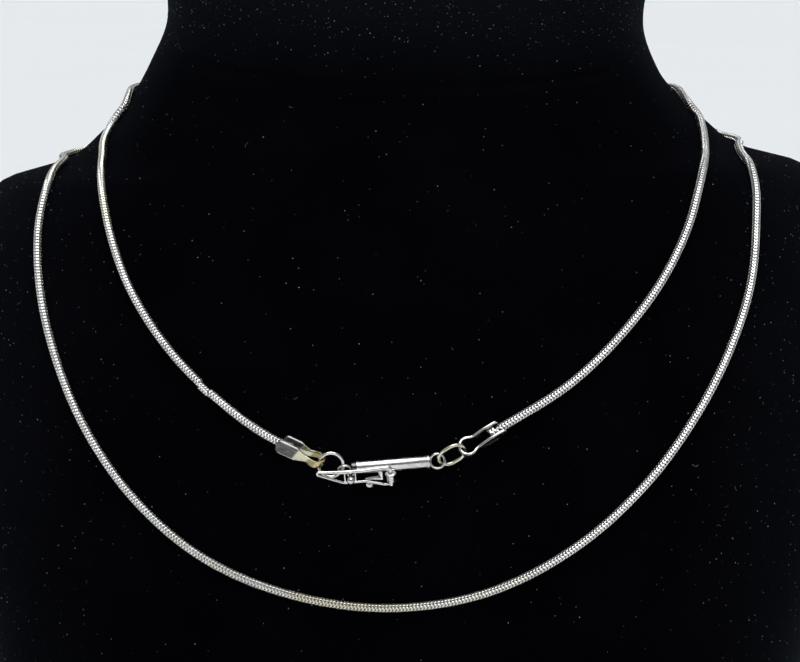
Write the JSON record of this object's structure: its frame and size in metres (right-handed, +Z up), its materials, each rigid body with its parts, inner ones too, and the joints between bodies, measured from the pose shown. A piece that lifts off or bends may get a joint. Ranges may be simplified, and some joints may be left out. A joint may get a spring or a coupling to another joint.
{
  "type": "snake chain necklace on neck bust",
  "caption": "Long round snake chain wound twice round a velvet neck bust, closed in front by a barrel clasp with a figure-of-eight safety catch.",
  "frame": {"origin": "centre of the bust's flat base, on the surface it stands on", "axes": "+Z up the bust, -Y out of the chest, +X to the viewer's right"},
  "size_m": [0.217, 0.1356, 0.22],
  "materials": {
    "velvet": "black flocked velvet",
    "chain_silver": "bright silver snake links with dark gaps",
    "warm_silver": "polished silver wire with a faint yellow tarnish",
    "polished_silver": "polished silver"
  },
  "bodies": {
    "body": {"neck_bust": "velvet", "chain": "chain_silver", "end_cap_left": "polished_silver", "end_cap_right": "polished_silver", "jump_ring": "warm_silver", "link_ring": "warm_silver", "clasp_barrel": "polished_silver", "clasp_tongue": "polished_silver"},
    "catch": {"safety_catch": "polished_silver"}
  },
  "joints": [
    {"name": "safety_catch_hinge", "type": "hinge", "parent": "body", "child": "catch", "pos_m": [-0.00145, -0.06572, 0.08871], "axis": [-0.0873, -0.3756, 0.9227], "range_deg": [0, 150]}
  ]
}
